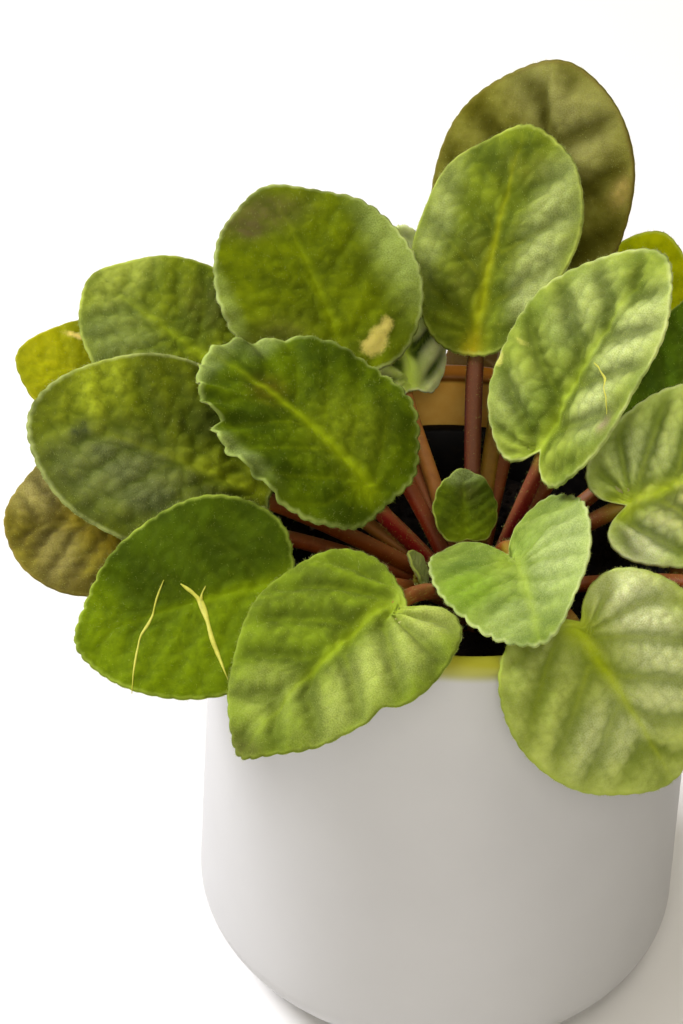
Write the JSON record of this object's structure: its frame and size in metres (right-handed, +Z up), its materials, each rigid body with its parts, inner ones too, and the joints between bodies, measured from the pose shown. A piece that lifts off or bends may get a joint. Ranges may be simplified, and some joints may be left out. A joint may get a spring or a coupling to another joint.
{
  "type": "potted african violet",
  "caption": "Rosette of fleshy, hairy, crenate leaves on red-brown petioles, without flowers, growing in soil in a nursery pot that stands in a plain white ceramic pot.",
  "frame": {"origin": "centre of the ceramic pot's flat foot, on the surface that it stands on", "axes": "+Z up along the pot's axis, -Y towards the front, +X to the right"},
  "size_m": [0.2242, 0.2048, 0.2225],
  "materials": {
    "ceramic": "satin white glaze",
    "black_plastic": "thin moulded nursery pot, matt black",
    "potting_soil": "moist crumbly peat, dark brown",
    "petiole": "fleshy, red-brown, finely hairy",
    "leaf": "fleshy, green, covered with fine hairs"
  },
  "bodies": {
    "root": {"pot": "ceramic", "nursery_pot": "black_plastic", "soil": "potting_soil", "crown": "petiole", "leaf_front": "leaf", "leaf_front_left": "leaf", "leaf_left_wide": "leaf", "leaf_left_brown": "leaf", "leaf_left_ochre": "leaf", "leaf_left_back": "leaf", "leaf_centre_wavy": "leaf", "leaf_back_left": "leaf", "leaf_back_grey": "leaf", "leaf_back_upright": "leaf", "leaf_back_tall": "leaf", "leaf_right_folded": "leaf", "leaf_right_yellow": "leaf", "leaf_right_back": "leaf", "leaf_right": "leaf", "leaf_right_front": "leaf", "leaf_right_low": "leaf", "leaf_back_low": "leaf", "leaf_back_left_low": "leaf", "leaf_centre_young": "leaf", "leaf_centre_small": "leaf", "leaf_crown_tiny": "leaf"}
  },
  "joints": []
}
